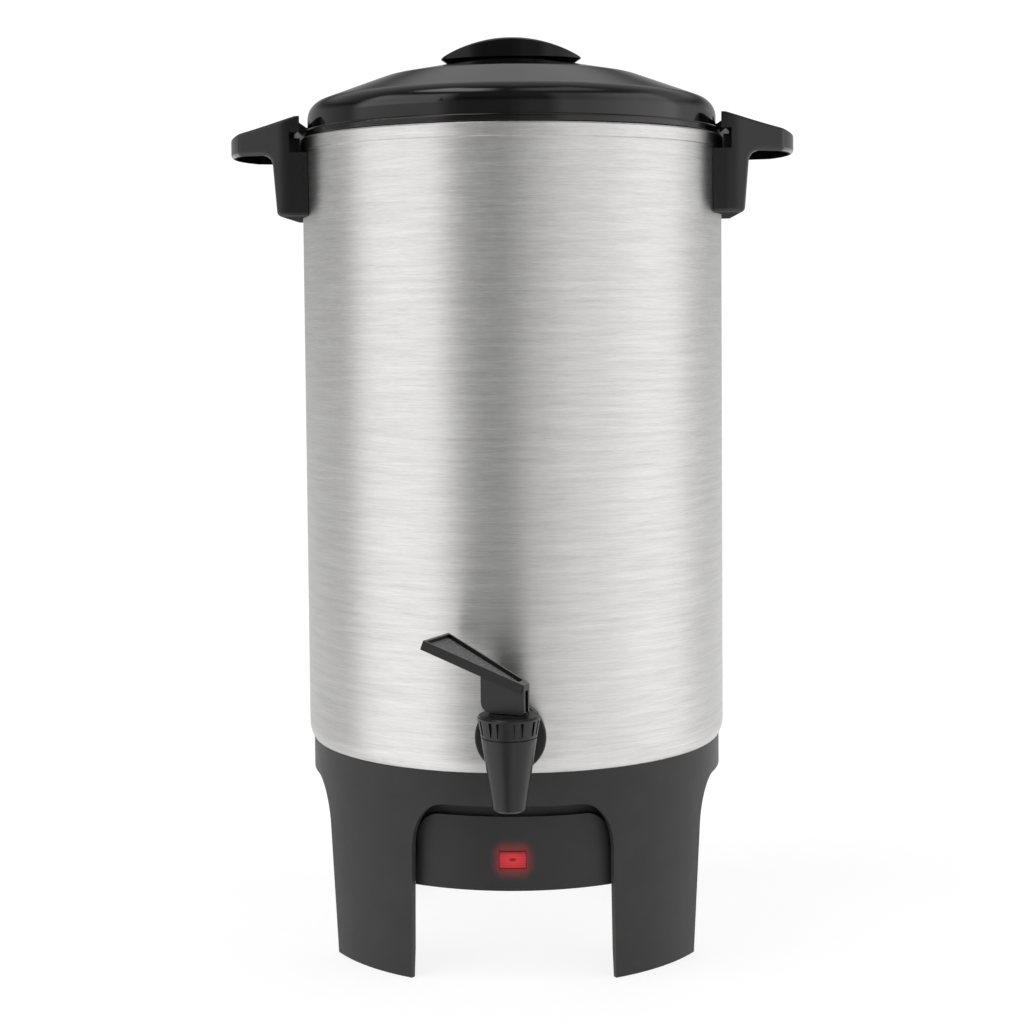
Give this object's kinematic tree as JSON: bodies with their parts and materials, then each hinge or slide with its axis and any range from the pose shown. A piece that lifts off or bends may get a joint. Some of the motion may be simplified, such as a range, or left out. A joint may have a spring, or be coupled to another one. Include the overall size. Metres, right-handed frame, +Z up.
{
  "type": "coffee urn",
  "caption": "Free-standing percolating coffee urn: steel tank on a black arched base, domed lid with an oval knob, side handles and a swivelling lever tap.",
  "frame": {"origin": "on the standing surface, on the tank's axis", "axes": "+Z up along the tank's axis; -Y is the front, where the tap is; the handles are at +X and -X"},
  "size_m": [0.2686, 0.2443, 0.4296],
  "materials": {
    "tank_steel": "horizontally brushed",
    "lid_plastic": "glossy",
    "knob_plastic": "glossy",
    "handle_plastic": "satin",
    "base_plastic": "satin",
    "panel_plastic": "satin",
    "control_plastic": "moulded",
    "tap_plastic": "semi-gloss",
    "lever_plastic": "satin",
    "red_lens": "translucent red, lit from behind",
    "bulb_glass": "clear",
    "plain_steel": "plain",
    "pump_aluminium": "satin",
    "cast_aluminium": "as cast",
    "brass_pins": "plain",
    "lead_rubber": "insulation",
    "seal_rubber": "silicone"
  },
  "bodies": {
    "urn": {"tank_body": "tank_steel", "base_shell": "base_plastic", "inner_housing": "base_plastic", "control_panel": "panel_plastic", "indicator_lens": "red_lens", "indicator_holder": "panel_plastic", "indicator_bulb": "bulb_glass", "bottom_cover": "plain_steel", "bottom_cover_screws": "plain_steel", "tank_studs": "plain_steel", "tank_stud_nuts": "plain_steel", "heater_plate": "cast_aluminium", "heater_element": "cast_aluminium", "heater_clamp": "plain_steel", "heater_stud": "plain_steel", "heater_nut": "plain_steel", "thermostat": "control_plastic", "thermal_fuse": "control_plastic", "inlet_socket": "panel_plastic", "inlet_pins": "brass_pins", "inlet_screws": "plain_steel", "heater_leads": "lead_rubber", "lamp_leads": "lead_rubber", "handle_right": "handle_plastic", "handle_left": "handle_plastic", "handle_bracket_right": "plain_steel", "handle_bracket_left": "plain_steel", "handle_screws": "plain_steel", "tap_body": "tap_plastic", "tap_gasket": "seal_rubber", "tap_inner_gasket": "seal_rubber", "tap_nut": "tap_plastic", "tap_bonnet": "tap_plastic"},
    "lid": {"lid": "lid_plastic", "lid_knob": "knob_plastic", "lid_knob_screw": "plain_steel"},
    "tap_swivel": {"bearing_washer": "tap_plastic"},
    "valve": {"valve_stem": "tap_plastic", "seat_cup": "seal_rubber"},
    "lever": {"tap_lever": "lever_plastic", "lever_pin": "tap_plastic"},
    "pump": {"pump_foot": "pump_aluminium", "pump_tube": "pump_aluminium", "basket_seat": "pump_aluminium"},
    "basket": {"basket": "pump_aluminium"},
    "basket_cover": {"basket_cover": "pump_aluminium"}
  },
  "joints": [
    {"name": "lid_lift", "type": "slide", "parent": "urn", "child": "lid", "axis": [0, 0, 1], "range_m": [0, 0.12]},
    {"name": "tap_turn", "type": "hinge", "parent": "urn", "child": "tap_swivel", "pos_m": [0, -0.13, 0.128], "axis": [0, 0, 1], "range_deg": [-6, 236]},
    {"name": "valve_rise", "type": "slide", "parent": "tap_swivel", "child": "valve", "axis": [0, 0, 1], "range_m": [0, 0.003], "stiffness_N_per_m": 300, "springref_m": -0.002},
    {"name": "lever_tilt", "type": "hinge", "parent": "valve", "child": "lever", "pos_m": [0, -0.13, 0.1356], "axis": [-0.4226, -0.9063, 0], "range_deg": [0, 25.1]},
    {"name": "pump_lift", "type": "slide", "parent": "urn", "child": "pump", "axis": [0, 0, 1], "range_m": [0, 0.015]},
    {"name": "basket_lift", "type": "slide", "parent": "pump", "child": "basket", "axis": [0, 0, 1], "range_m": [0, 0.01]},
    {"name": "cover_lift", "type": "slide", "parent": "basket", "child": "basket_cover", "axis": [0, 0, 1], "range_m": [0, 0.008]}
  ],
  "couplings": [
    {"joint": "lever_tilt", "follows": "valve_rise", "rad_per_m": 145.44}
  ]
}
